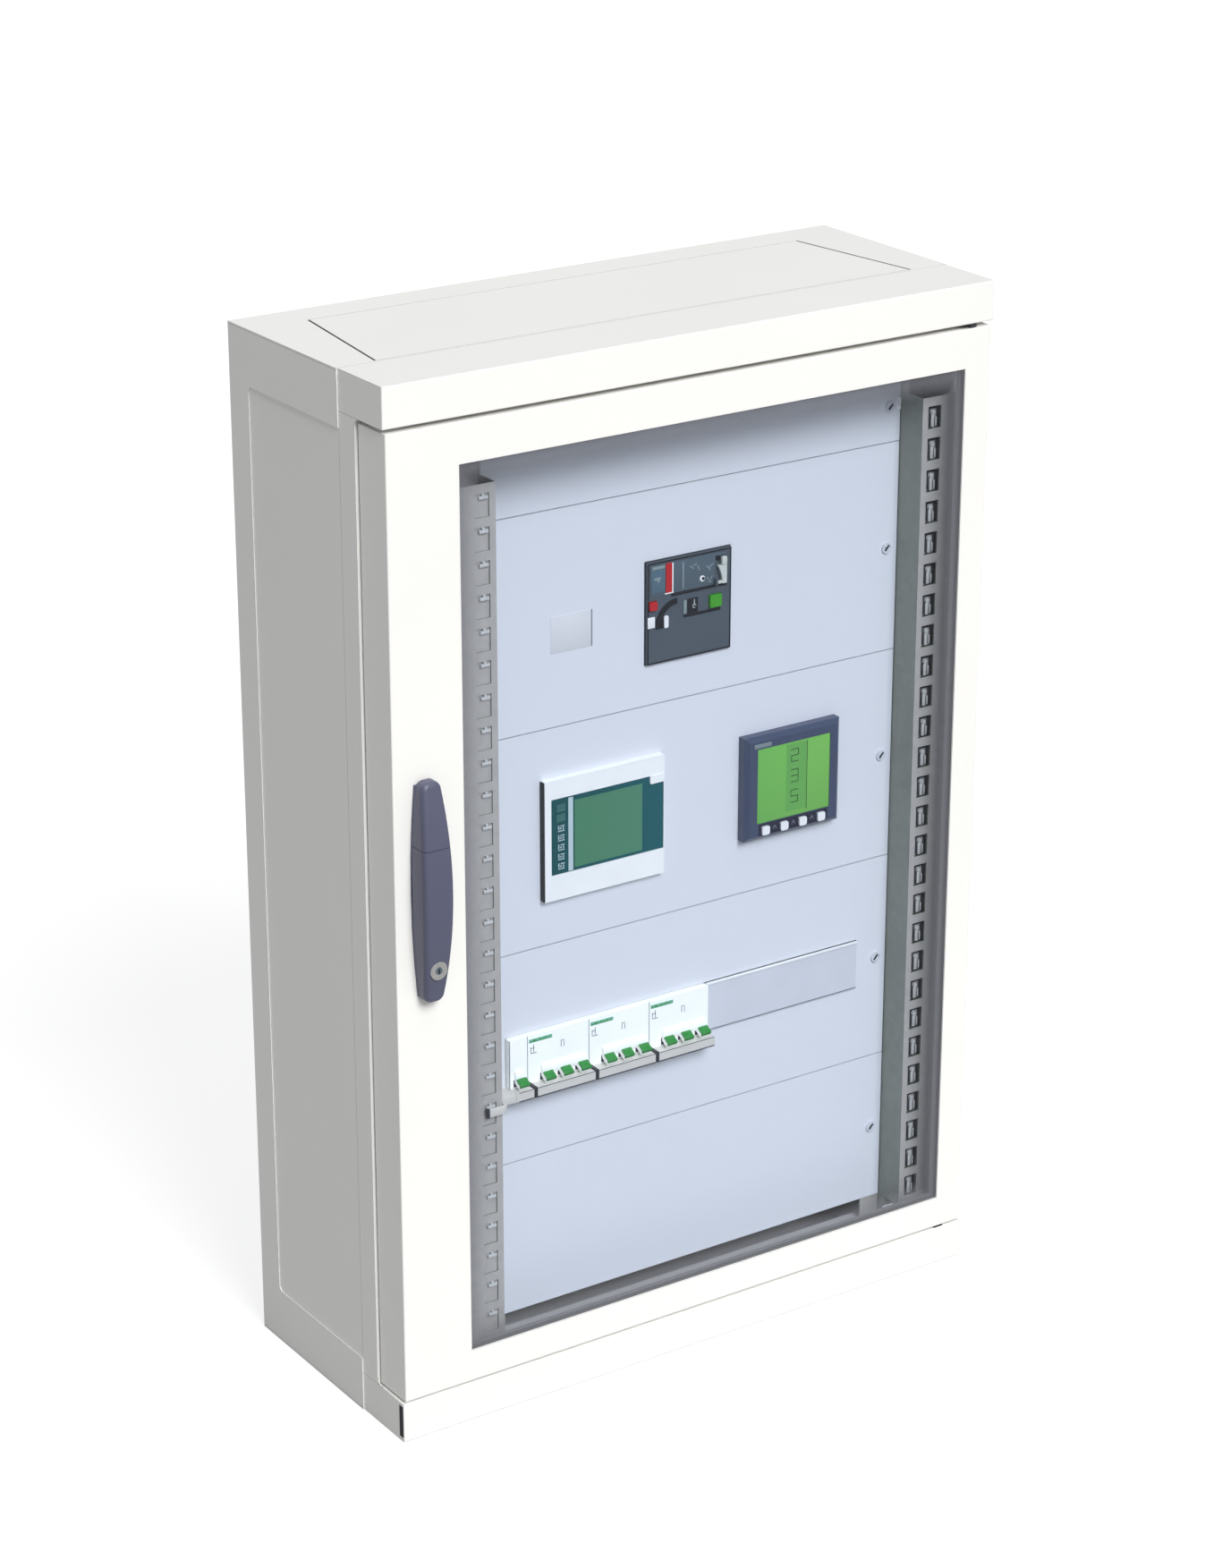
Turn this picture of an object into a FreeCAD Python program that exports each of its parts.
import FreeCAD, Part
import math
import os
import Sketcher

# Glazed-door distribution switchboard cabinet, in millimetres.
# +Z is up, the door faces -Y and its hinges are on the +X side.
# The origin is the centre of the footprint, at floor level.

doc = FreeCAD.newDocument("switchboard_cabinet")
sheet = doc.addObject("Spreadsheet::Sheet", "Sizes")
Vector = FreeCAD.Vector
Rotation = FreeCAD.Rotation


class Size:
    """A length that knows both its spreadsheet expression and its value."""

    def __init__(self, text, value):
        self.text = text
        self.value = value

    def join(self, other, sign, value):
        other_text = other.text if isinstance(other, Size) else str(other)
        return Size("(%s %s %s)" % (self.text, sign, other_text), value)

    def __add__(self, other):
        return self.join(other, "+", self.value + plain(other))

    def __radd__(self, other):
        return self + other

    def __sub__(self, other):
        return self.join(other, "-", self.value - plain(other))

    def __rsub__(self, other):
        return Size("(%s - %s)" % (other, self.text), other - self.value)

    def __mul__(self, other):
        return self.join(other, "*", self.value * plain(other))

    def __truediv__(self, other):
        return self.join(other, "/", self.value / plain(other))

    def __neg__(self):
        return Size("(0 - %s)" % self.text, -self.value)


def plain(size):
    """The plain number behind a size."""
    return size.value if isinstance(size, Size) else size


def size(alias, value, meaning):
    """Write one driving dimension to its own row of the sheet."""
    size.row += 1
    sheet.set("A%d" % size.row, meaning)
    sheet.set("B%d" % size.row, str(value))
    sheet.setAlias("B%d" % size.row, alias)
    return Size("Sizes." + alias, float(value))


size.row = 0

# ---------------------------------------------------------------- overall
width = size("width", 605, "cabinet width over the side panels")
height = size("height", 930, "cabinet height")
depth = size("depth", 243, "front of the door frame to the back panel")
metal = size("metal", 1.5, "sheet steel thickness")
panel_gauge = size("panel_gauge", 2.7, "side panel over its pressed recess")
side_proud = size("side_proud", 1.2, "side panels stand proud of the front frame")
frame_depth = size("frame_depth", 67.5, "front frame, front to back")
lip_front = size("lip_front", 43.5, "front face of the frame posts")
lip_width = size("lip_width", 18.8, "frame post, across")
ear_radius = size("ear_radius", 8, "rounded corner between post and fascia")
ear_gauge = size("ear_gauge", 1, "thickness of that corner")
top_fascia_high = size("top_fascia_high", 34.5, "top fascia")
bottom_fascia_high = size("bottom_fascia_high", 36.4, "bottom fascia")
recess_rear = size("recess_rear", 30.7, "recess to the rear edge")
recess_bottom = size("recess_bottom", 50.5, "recess to the bottom edge")
recess_top = size("recess_top", 48.5, "recess to the top edge")
recess_corner = size("recess_corner", 6, "recess corner radius")
gland_front_half = size("gland_front_half", 264.4, "gland plate half width at its front")
gland_rear_half = size("gland_rear_half", 245.7, "gland plate half width at its rear")
gland_depth = size("gland_depth", 138, "gland plate, front to back")
gland_slot = size("gland_slot", 1.8, "gap at the gland plate's sloping sides")
gland_edge = size("gland_edge", 0.3, "gap at the gland plate's front and rear")
gland_ledge = size("gland_ledge", 9, "ledge below the gland plate")
fix_radius = size("fix_radius", 4.5, "wall-fixing hole radius")
fix_side = size("fix_side", 60, "wall-fixing hole to the side")
fix_end = size("fix_end", 80, "wall-fixing hole to the top or bottom")
# ------------------------------------------------------------------- door
door_side_gap = size("door_side_gap", 3.5, "door to the cabinet's side")
door_top_gap = size("door_top_gap", 4, "door to the top fascia")
door_bottom_gap = size("door_bottom_gap", 2, "door to the bottom fascia")
door_depth = size("door_depth", 41, "door, front to back")
window_left = size("window_left", 70, "window to the cabinet's left side")
window_right = size("window_right", 30, "window to the cabinet's right side")
window_bottom = size("window_bottom", 68, "window to the floor")
window_top = size("window_top", 73, "window to the cabinet's top")
glass_gauge = size("glass_gauge", 4, "glass thickness")
glass_overlap = size("glass_overlap", 8, "glass behind the door frame")
glass_bed = size("glass_bed", 0.2, "adhesive between the glass and the door frame")
seal_width = size("seal_width", 9, "glass retaining strip, across")
seal_gauge = size("seal_gauge", 5, "glass retaining strip, front to back")
hinge_side = size("hinge_side", 8.5, "hinge axis to the cabinet's side")
hinge_deep = size("hinge_deep", 36, "hinge axis behind the front")
pin_radius = size("pin_radius", 2, "hinge pin radius")
pin_length = size("pin_length", 20, "hinge pin inside the door")
pin_clearance = size("pin_clearance", 0.05, "hinge pin running clearance")
bush_wall = size("bush_wall", 1.3, "hinge bush wall")
bush_length = size("bush_length", 15, "hinge bush")
leaf_gauge = size("leaf_gauge", 1, "hinge leaf thickness")
leaf_inset = size("leaf_inset", 22.5, "hinge leaf inboard of its pin")
leaf_wide = size("leaf_wide", 10, "hinge leaf's forward arm, across")
leaf_front = size("leaf_front", 1, "hinge leaf's arm behind the door's front")
leaf_behind = size("leaf_behind", 4, "hinge leaf behind its pin")
leaf_before = size("leaf_before", 8, "hinge leaf's plate before its pin")
leaf_outboard = size("leaf_outboard", 3.5, "hinge leaf outboard of its pin")
pin_hole_play = size("pin_hole_play", 0.4, "hinge pin to the door's folded edge")
# ----------------------------------------------------------------- handle
handle_proud = size("handle_proud", 24, "handle in front of the door")
handle_side = size("handle_side", 32, "handle axis to the cabinet's left side")
handle_wide = size("handle_wide", 28, "handle at its widest")
handle_bottom = size("handle_bottom", 409.5, "lower end of the handle")
handle_high = size("handle_high", 193, "handle, end to end")
handle_side_curve = size("handle_side_curve", 934, "radius of the handle's long sides")
handle_face_curve = size("handle_face_curve", 429, "radius of the handle's crowned face")
handle_tip = size("handle_tip", 7.5, "corner radius at the handle's ends")
handle_edge = size("handle_edge", 5, "rounding of the handle's face edge")
handle_split = size("handle_split", 55, "fixed head of the handle, from its top")
spindle_drop = size("spindle_drop", 29, "spindle below the handle's top")
spindle_radius = size("spindle_radius", 5, "handle spindle radius")
escutcheon_gauge = size("escutcheon_gauge", 2.5, "plate under the handle")
turn_gap = size("turn_gap", 0.5, "handle to the plate under it")
lock_radius = size("lock_radius", 8, "key cylinder radius")
lock_rise = size("lock_rise", 31, "key cylinder above the handle's lower end")
lock_sunk = size("lock_sunk", 4.5, "key cylinder's face behind the handle's front")
lock_length = size("lock_length", 14, "key cylinder, front to back")
lock_play = size("lock_play", 0.05, "key cylinder to its bore")
keyway_wide = size("keyway_wide", 1.6, "keyway, across")
keyway_high = size("keyway_high", 7, "keyway height")
keyway_deep = size("keyway_deep", 4, "keyway depth")
base_inset = size("base_inset", 4, "plate under the handle, short of the handle's ends")
cam_radius = size("cam_radius", 12, "cam pin circle radius")
cam_pin = size("cam_pin", 2.5, "cam pin radius")
cam_gauge = size("cam_gauge", 3, "cam disc thickness")
cam_gap = size("cam_gap", 3, "cam disc to the latch rods")
cam_rim = size("cam_rim", 2, "cam disc beyond its pins")
cam_pin_past = size("cam_pin_past", 1, "cam pin past the latch rod")
rod_aside = size("rod_aside", 4, "latch rod's near edge to the spindle's axis")
rod_width = size("rod_width", 13, "latch rod, across")
rod_gauge = size("rod_gauge", 3, "latch rod thickness")
rod_front = size("rod_front", 14, "latch rods behind the front")
rod_end_gap = size("rod_end_gap", 24, "latch rod to the door's end, extended")
rod_eye = size("rod_eye", 7, "latch rod beyond the middle of its eye")
guide_play = size("guide_play", 0.5, "latch rod to its guide")
guide_wall = size("guide_wall", 2, "latch rod guide wall")
guide_high = size("guide_high", 12, "latch rod guide height")
guide_end = size("guide_end", 70, "outer guides to the door's ends")
guide_reach = size("guide_reach", 75, "inner guides from the spindle")
lug_gap = size("lug_gap", 3, "latch rod to the strike lug behind it")
lug_high = size("lug_high", 12, "strike lug height")
lug_gauge = size("lug_gauge", 2, "strike lug thickness")
lug_inset = size("lug_inset", 2, "strike lug to the latch rod's tip")
lug_aside = size("lug_aside", 6, "strike lug's stem to the post's inner edge")
slot_play = size("slot_play", 0.8, "cam pin to its slot")
# --------------------------------------------------------------- interior
upright_front = size("upright_front", 22, "front of the notched flanges")
upright_left = size("upright_left", 117, "inner edge of the left upright")
upright_right = size("upright_right", 548, "inner edge of the right upright")
flange_wide = size("flange_wide", 42, "notched flange, across")
upright_short = size("upright_short", 20, "notched flanges end below the filler plate's top")
notch_wide = size("notch_wide", 14, "notch, across")
notch_high = size("notch_high", 20, "notch height")
notch_pitch = size("notch_pitch", 28.3, "notch pitch")
notch_edge = size("notch_edge", 6, "notch to the flange's inner edge")
return_wide = size("return_wide", 22, "plate-fixing return of an upright")
plate_front = size("plate_front", 52.5, "front of the cover plates")
plate_seam = size("plate_seam", 0.6, "gap between cover plates")
plates_rise = size("plates_rise", 58, "lowest cover plate above the floor")
plates_drop = size("plates_drop", 80, "highest cover plate below the cabinet's top")
modular_high = size("modular_high", 196, "modular plate height")
metering_high = size("metering_high", 196, "metering plate height")
breaker_plate_high = size("breaker_plate_high", 190, "breaker plate height")
lower_parts = size("lower_parts", 146, "lower plate's parts of the two blank plates")
filler_parts = size("filler_parts", 64, "filler plate's parts of the two blank plates")
fold_clear = size("fold_clear", 4, "folded edge of a cover plate to the upright")
plate_fold = size("plate_fold", 5, "folded edge of a cover plate")
cutout_play = size("cutout_play", 1, "device to its cut-out")
screw_inset = size("screw_inset", 12, "fastener to the plate's edge")
screw_head = size("screw_head", 5, "fastener head radius")
screw_shank = size("screw_shank", 2.5, "fastener shank radius")
screw_play = size("screw_play", 0.25, "fastener shank clearance")
screw_gauge = size("screw_gauge", 1.6, "fastener head thickness")
screw_slot_half = size("screw_slot_half", 4, "fastener slot, half its length")
screw_slot_wide = size("screw_slot_wide", 1.4, "fastener slot width")
screw_slot_deep = size("screw_slot_deep", 0.8, "fastener slot depth")
cover_fold = size("cover_fold", 12, "wireway cover's folded edges")
# ----------------------------------------------------------- main breaker
breaker_left = size("breaker_left", 282.5, "main breaker front, left edge")
breaker_wide = size("breaker_wide", 86, "main breaker front, across")
breaker_rise = size("breaker_rise", 37, "main breaker front above its plate's lower edge")
breaker_high = size("breaker_high", 90, "main breaker front, height")
breaker_proud = size("breaker_proud", 3, "main breaker front before its plate")
front_gauge = size("front_gauge", 6.5, "main breaker front, thickness")
breaker_deep = size("breaker_deep", 82, "main breaker body depth")
body_wide = size("body_wide", 105, "main breaker body, across")
body_high = size("body_high", 140, "main breaker body height")
button_travel = size("button_travel", 2, "push-button travel")
green_right = size("green_right", 11, "close button to the breaker front's right edge")
green_bottom = size("green_bottom", 40, "close button above the front's lower edge")
green_size = size("green_size", 12, "close button, across")
green_high = size("green_high", 11, "close button height")
red_left = size("red_left", 1.5, "open button to the front's left edge")
red_bottom = size("red_bottom", 48.5, "open button above the front's lower edge")
red_size = size("red_size", 7.5, "open button, across")
button_play = size("button_play", 0.3, "push-button to its hole")
button_proud = size("button_proud", 2.4, "push-button before the breaker front")
button_hole = size("button_hole", 5.5, "push-button hole depth")
button_floor = size("button_floor", 0.5, "pressed push-button to its hole's floor")
button_round = size("button_round", 1.2, "push-button corner radius")
body_round = size("body_round", 2, "main breaker body corner radius")
crank_right = size("crank_right", 7, "charging handle to the front's right edge")
crank_wide = size("crank_wide", 9, "charging handle, across")
crank_bottom = size("crank_bottom", 62, "charging handle pivot above the front's edge")
crank_high = size("crank_high", 22, "charging handle, pivot to tip")
crank_gauge = size("crank_gauge", 3.5, "charging handle thickness")
crank_gap = size("crank_gap", 0.4, "charging handle to what is beside it")
crank_lug = size("crank_lug", 2, "charging handle's lugs, across")
crank_lug_proud = size("crank_lug_proud", 4, "charging handle's lugs before the breaker front")
crank_lug_half = size("crank_lug_half", 3, "charging handle's lugs, half their height")
tray_high = size("tray_high", 160, "breaker mounting tray height")
# ---------------------------------------------------- metering and display
meter_left = size("meter_left", 381, "power meter, left edge")
meter_wide = size("meter_wide", 102, "power meter, across")
meter_rise = size("meter_rise", 51.5, "power meter above its plate's lower edge")
meter_high = size("meter_high", 96, "power meter, height")
meter_proud = size("meter_proud", 12, "power meter before its plate")
meter_neck_side = size("meter_neck_side", 6, "meter's neck inside its bezel, at the sides")
meter_neck_end = size("meter_neck_end", 5, "meter's neck inside its bezel, top and bottom")
meter_neck_deep = size("meter_neck_deep", 50, "meter's neck behind its plate")
screen_side = size("screen_side", 12, "meter screen to the bezel's sides")
screen_foot = size("screen_foot", 15.5, "meter screen to the bezel's foot")
screen_head = size("screen_head", 11, "meter screen to the bezel's head")
screen_sunk = size("screen_sunk", 1.5, "meter screen behind the bezel")
key_rise = size("key_rise", 4.5, "meter keys above the bezel's foot")
key_side = size("key_side", 17, "meter keys to the bezel's sides")
key_proud = size("key_proud", 1.5, "meter key before the bezel")
key_hole = size("key_hole", 6, "meter key hole depth")
key_floor = size("key_floor", 0.4, "pressed meter key to its hole's floor")
key_round = size("key_round", 2, "meter key corner radius")
key_size = size("key_size", 8, "meter key, across")
key_play = size("key_play", 0.3, "meter key to its case")
key_travel = size("key_travel", 1.2, "meter key travel")
display_left = size("display_left", 177.5, "display, left edge")
display_wide = size("display_wide", 121.5, "display, across")
display_rise = size("display_rise", 42, "display above its plate's lower edge")
display_high = size("display_high", 109, "display, height")
display_proud = size("display_proud", 6, "display before its plate")
display_neck_in = size("display_neck_in", 8, "display's neck inside its bezel")
display_neck_deep = size("display_neck_deep", 35, "display's neck behind its plate")
touch_left = size("touch_left", 6.5, "touch panel to the bezel's left side")
touch_right = size("touch_right", 0.6, "touch panel to the bezel's right side")
touch_foot = size("touch_foot", 23, "touch panel to the bezel's foot")
touch_head = size("touch_head", 17, "touch panel to the bezel's head")
touch_deep = size("touch_deep", 2, "touch panel's recess depth")
touch_sunk = size("touch_sunk", 0.8, "touch panel behind the bezel")
touch_play = size("touch_play", 0.2, "touch panel to its recess")
# ------------------------------------------------------------ modular row
module = size("module", 18, "width of one modular pole")
row_left = size("row_left", 140.7, "modular row, left edge")
row_gap = size("row_gap", 9, "auxiliary strip beside each three-pole breaker's poles")
row_rise = size("row_rise", 96, "modular row's centre above its plate's lower edge")
row_high = size("row_high", 45, "modular device nose height")
row_play = size("row_play", 1.2, "modular row to its window")
row_right = size("row_right", 514.5, "modular window, right edge")
nose_proud = size("nose_proud", 5.5, "modular device nose before its plate")
device_deep = size("device_deep", 60, "modular device body depth")
device_high = size("device_high", 85, "modular device body height")
trunk_gap = size("trunk_gap", 2, "modular device's body behind its plate")
device_seam = size("device_seam", 0.4, "gap between modular devices")
toggle_radius = size("toggle_radius", 7, "toggle drum radius")
toggle_play = size("toggle_play", 0.4, "toggle drum to its socket")
toggle_reach = size("toggle_reach", 15, "toggle tip from its axis")
toggle_wide = size("toggle_wide", 9, "toggle tip, across")
toggle_gauge = size("toggle_gauge", 5, "toggle tip thickness")
toggle_deep = size("toggle_deep", 4, "toggle axis behind the device's face")
toggle_root = size("toggle_root", 2, "toggle tip sunk into its drum")
toggle_drop = size("toggle_drop", 12, "toggle axis below the row's centre")
ledge_high = size("ledge_high", 7.8, "label ledge height")
ledge_gap = size("ledge_gap", 0.2, "label ledge to the device above it")
ledge_proud = size("ledge_proud", 11, "label ledge before the devices' face")
strip_proud = size("strip_proud", 2, "blanking strip before its plate")
strip_round = size("strip_round", 1, "blanking strip edge radius")
rail_high = size("rail_high", 35, "mounting rail height")
rail_deep = size("rail_deep", 7.5, "mounting rail depth")
rail_brim = size("rail_brim", 5, "mounting rail's brims")
rail_gauge = size("rail_gauge", 1, "mounting rail thickness")
bracket_high = size("bracket_high", 60, "mounting rail bracket height")
bar_wide = size("bar_wide", 20, "busbar, across")
bar_gauge = size("bar_gauge", 5, "busbar thickness")
bar_pitch = size("bar_pitch", 50, "busbar pitch")
bar_bottom = size("bar_bottom", 90, "busbar, lower end")
bar_high = size("bar_high", 480, "busbar length")
bar_stand_off = size("bar_stand_off", 36, "busbar before the back panel")
support_high = size("support_high", 24, "busbar support height")
support_past = size("support_past", 15, "busbar support past the outer bars")
support_inset = size("support_inset", 60, "busbar support to the bars' ends")
cover_front = size("cover_front", 46, "wireway cover's front")
cover_end = size("cover_end", 9, "wireway cover to the fascias")

left = -width / 2
front = -(depth + handle_proud) / 2 + handle_proud
door_bottom = bottom_fascia_high + door_bottom_gap
door_top = height - top_fascia_high - door_top_gap
fascia_underside = height - top_fascia_high
hinge_x = width - hinge_side
plate_back = plate_front + metal
handle_top = handle_bottom + handle_high
spindle_z = handle_top - spindle_drop
# the two blank plates share what the height leaves over
blank_high = height - plates_rise - plates_drop - modular_high - metering_high - breaker_plate_high
modular_line = plates_rise + blank_high * lower_parts / (lower_parts + filler_parts)
metering_line = modular_line + modular_high
breaker_line = metering_line + metering_high
filler_line = breaker_line + breaker_plate_high
lines = [plates_rise, modular_line, metering_line, breaker_line, filler_line, height - plates_drop]
upright_bottom = plates_rise
upright_top = height - plates_drop - upright_short
notch_room = (upright_top - upright_bottom) / notch_pitch
notch_count = Size("floor(%s)" % notch_room.text, math.floor(notch_room.value))
breaker_bottom = breaker_line + breaker_rise
meter_bottom = metering_line + meter_rise
display_bottom = metering_line + display_rise
row_centre = modular_line + row_rise
row_pitch = module * 3 + row_gap


def bind(item, path, length):
    """Tie a property to the sheet where its length comes from it."""
    if isinstance(length, Size):
        item.setExpression(path, length.text)
    else:
        item.setExpression(path, str(length))


def place(item, x, y, z):
    """Place an item by its distance from the cabinet's left side, front and floor."""
    item.setExpression("Placement.Base.x", (left + x).text)
    item.setExpression("Placement.Base.y", (front + y).text)
    bind(item, "Placement.Base.z", z)


def box(name, x, y, z):
    """A block between two values each way, from the cabinet's left, front and floor."""
    block = doc.addObject("Part::Box", name)
    for path, span in (("Length", x), ("Width", y), ("Height", z)):
        bind(block, path, span[1] - span[0])
    place(block, x[0], y[0], z[0])
    return block


def cylinder(name, direction, radius, start, length):
    """A round bar from a start point along one of the directions X, Y or Z."""
    turn = {"X": Rotation(Vector(0, 1, 0), 90), "Y": Rotation(Vector(1, 0, 0), -90), "Z": Rotation()}
    bar = doc.addObject("Part::Cylinder", name)
    bar.Placement = FreeCAD.Placement(Vector(), turn[direction])
    bind(bar, "Radius", radius)
    bind(bar, "Height", length)
    place(bar, *start)
    return bar


def cut(name, base, tools):
    """Take the tools away from the base, one boolean feature."""
    result = doc.addObject("Part::Cut", name)
    result.Base = base
    result.Tool = tools[0] if len(tools) == 1 else join(name + "_tools", tools)
    return result


def join(name, shapes):
    """Unite shapes that touch, or hold apart shapes that don't, as one feature."""
    result = doc.addObject("Part::MultiFuse", name)
    result.Shapes = shapes
    result.Refine = True
    return result


def group(name, shapes):
    """Several separate solids of one kind, in one node."""
    result = doc.addObject("Part::Compound", name)
    result.Links = shapes
    return result


def rounded(name, base, radius, wanted):
    """Fillet the edges of a Part feature that the wanted test picks."""
    doc.recompute()
    result = doc.addObject("Part::Fillet", name)
    result.Base = base
    edges = [n + 1 for n, edge in enumerate(base.Shape.Edges) if wanted(edge)]
    result.Edges = [(n, plain(radius), plain(radius)) for n in edges]
    return result


def body(label, x, y, z):
    """A PartDesign body whose own origin sits at one corner of the piece."""
    piece = doc.addObject("PartDesign::Body", label)
    place(piece, x, y, z)
    return piece


def sketch(piece, plane, outlines, lift=0):
    """A sketch of closed outlines, each corner dimensioned from the body's origin."""
    drawing = piece.newObject("Sketcher::SketchObject", piece.Name + "_sketch")
    origin_plane = [f for f in piece.Origin.OriginFeatures if f.Role == plane][0]
    drawing.AttachmentSupport = (origin_plane, "")
    drawing.MapMode = "FlatFace"
    bind(drawing, "AttachmentOffset.Base.z", lift)
    for corners in outlines:
        first = drawing.GeometryCount
        count = len(corners)
        points = [Vector(plain(u), plain(v), 0) for u, v in corners]
        for n in range(count):
            drawing.addGeometry(Part.LineSegment(points[n], points[(n + 1) % count]))
        for n in range(count):
            following = first + (n + 1) % count
            drawing.addConstraint(Sketcher.Constraint("Coincident", first + n, 2, following, 1))
        for n, corner in enumerate(corners):
            for kind, length in zip(("DistanceX", "DistanceY"), corner):
                if plain(length) == 0:
                    axis = -2 if kind == "DistanceX" else -1
                    drawing.addConstraint(Sketcher.Constraint("PointOnObject", first + n, 1, axis))
                    continue
                rule = Sketcher.Constraint(kind, -1, 1, first + n, 1, plain(length))
                index = drawing.addConstraint(rule)
                bind(drawing, "Constraints[%d]" % index, length)
    return drawing


def circles(piece, plane, centres, radius, lift=0):
    """A sketch of equal circles on one of the body's origin planes."""
    drawing = sketch(piece, plane, [], lift)
    for u, v in centres:
        shape = Part.Circle(Vector(plain(u), plain(v), 0), Vector(0, 0, 1), plain(radius))
        n = drawing.addGeometry(shape)
        rules = [("DistanceX", (-1, 1, n, 3), u), ("DistanceY", (-1, 1, n, 3), v)]
        rules.append(("Radius", (n,), radius))
        for kind, where, length in rules:
            index = drawing.addConstraint(Sketcher.Constraint(kind, *where, plain(length)))
            bind(drawing, "Constraints[%d]" % index, length)
    return drawing


def pad(piece, drawing, length, reverse=False):
    """Pad a sketch; reverse pads against the sketch's own direction."""
    feature = piece.newObject("PartDesign::Pad", piece.Name + "_pad")
    feature.Profile = drawing
    bind(feature, "Length", length)
    feature.Reversed = reverse
    return feature


def pocket(piece, drawing, length, reverse=False):
    """Pocket a sketch and make sure that it took something away."""
    doc.recompute()
    before = piece.Shape.Volume
    feature = piece.newObject("PartDesign::Pocket", piece.Name + "_pocket")
    feature.Profile = drawing
    bind(feature, "Length", length)
    feature.Reversed = reverse
    doc.recompute()
    if piece.Shape.Volume > before - 0.01:
        raise ValueError("a pocket in %s cuts nothing" % piece.Name)
    return feature


def rectangle(u0, v0, u1, v1):
    return [(u0, v0), (u1, v0), (u1, v1), (u0, v1)]


def fillet(piece, radius, wanted):
    """Fillet the edges of a body that the wanted test picks."""
    doc.recompute()
    tip = piece.Tip
    edges = ["Edge%d" % (n + 1) for n, edge in enumerate(tip.Shape.Edges) if wanted(edge)]
    feature = piece.newObject("PartDesign::Fillet", piece.Name + "_fillet")
    feature.Base = (tip, edges)
    bind(feature, "Radius", radius)
    return feature


def level_edge(edge):
    """A straight edge along X."""
    return edge.BoundBox.YLength < 1e-6 and edge.BoundBox.ZLength < 1e-6


def inward_edge(edge):
    """A straight edge along Y."""
    return edge.BoundBox.XLength < 1e-6 and edge.BoundBox.ZLength < 1e-6


nodes = []


def keep(*items):
    nodes.extend(items)


# ============================================================== enclosure
# Sketches on XZ_Plane look along +Y, so their pads run towards -Y unless reversed.

def make_back_panel():
    panel = body("back_panel", panel_gauge, depth - metal, metal)
    wide = width - panel_gauge * 2
    high = height - metal * 2
    pad(panel, sketch(panel, "XZ_Plane", [rectangle(0, 0, wide, high)]), metal, True)
    sides = (fix_side - panel_gauge, wide - fix_side + panel_gauge)
    ends = (fix_end - metal, high - fix_end + metal)
    centres = [(u, v) for u in sides for v in ends]
    pocket(panel, circles(panel, "XZ_Plane", centres, fix_radius), metal)
    return panel


def make_side_panel(label, x, on_left):
    """A side panel with a shallow pressed recess that runs out at its front edge."""
    panel = body(label, x, frame_depth, metal)
    deep = depth - frame_depth
    high = height - metal * 2
    pad(panel, sketch(panel, "YZ_Plane", [rectangle(0, 0, deep, high)]), panel_gauge)
    low = recess_bottom - metal
    top = high - recess_top + metal
    outline = rectangle(-5, low, deep - recess_rear, top)
    if on_left:
        pocket(panel, sketch(panel, "YZ_Plane", [outline]), side_proud, True)
    else:
        pocket(panel, sketch(panel, "YZ_Plane", [outline], panel_gauge), side_proud)
    rear = plain(deep - recess_rear)
    fillet(panel, recess_corner, lambda edge: cross_edge(edge, rear))
    return panel


def cross_edge(edge, deep):
    """A short edge along X at this depth, on its body's own tip."""
    box_now = edge.BoundBox
    return box_now.YLength < 1e-6 and box_now.ZLength < 1e-6 and abs(box_now.YMin - deep) < 0.01


def trapezoid(grow, ends):
    """The gland plate's outline, grown sideways and at its ends."""
    middle = width / 2
    return [
        (middle - gland_front_half - grow, metal * 2 - ends),
        (middle + gland_front_half + grow, metal * 2 - ends),
        (middle + gland_rear_half + grow, metal * 2 + gland_depth + ends),
        (middle - gland_rear_half - grow, metal * 2 + gland_depth + ends),
    ]


def make_end_panel(label, z, ledge_side_up):
    """The top or bottom panel, with a stepped opening for its gland plate."""
    panel = body(label, 0, frame_depth, z)
    deep = depth - frame_depth
    pad(panel, sketch(panel, "XY_Plane", [rectangle(0, 0, width, deep)]), metal * 2)
    seat = trapezoid(gland_slot, gland_edge)
    hole = trapezoid(-gland_ledge, -gland_ledge)
    pocket(panel, sketch(panel, "XY_Plane", [hole]), metal * 2, True)
    if ledge_side_up:
        pocket(panel, sketch(panel, "XY_Plane", [seat]), metal, True)
    else:
        pocket(panel, sketch(panel, "XY_Plane", [seat], metal * 2), metal)
    # the panel's hem clears the side and back panels that stand inside it
    step = panel_gauge
    rims = [
        rectangle(-1, -1, step, deep + 1),
        rectangle(width - step, -1, width + 1, deep + 1),
        rectangle(step, deep - metal, width - step, deep + 1),
    ]
    for rim in rims:
        if ledge_side_up:
            pocket(panel, sketch(panel, "XY_Plane", [rim], metal), metal, True)
        else:
            pocket(panel, sketch(panel, "XY_Plane", [rim], metal), metal)
    return panel


def make_gland_plate(label, z):
    plate = body(label, 0, frame_depth, z)
    pad(plate, sketch(plate, "XY_Plane", [trapezoid(0, 0)]), metal)
    return plate


def make_fascia(label, z, high):
    """A folded channel, open at the back, across the front of the frame."""
    fascia = body(label, side_proud, 0, z)
    wide = width - side_proud * 2
    pad(fascia, sketch(fascia, "XZ_Plane", [rectangle(0, 0, wide, high)]), frame_depth, True)
    hollow = rectangle(metal, metal, wide - metal, high - metal)
    inside = sketch(fascia, "XZ_Plane", [hollow], -frame_depth)
    pocket(fascia, inside, frame_depth - metal, True)
    fillet(fascia, metal - 0.3, lambda edge: edge.BoundBox.YMax < 0.01 and edge.BoundBox.YLength < 0.01)
    return fascia


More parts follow.
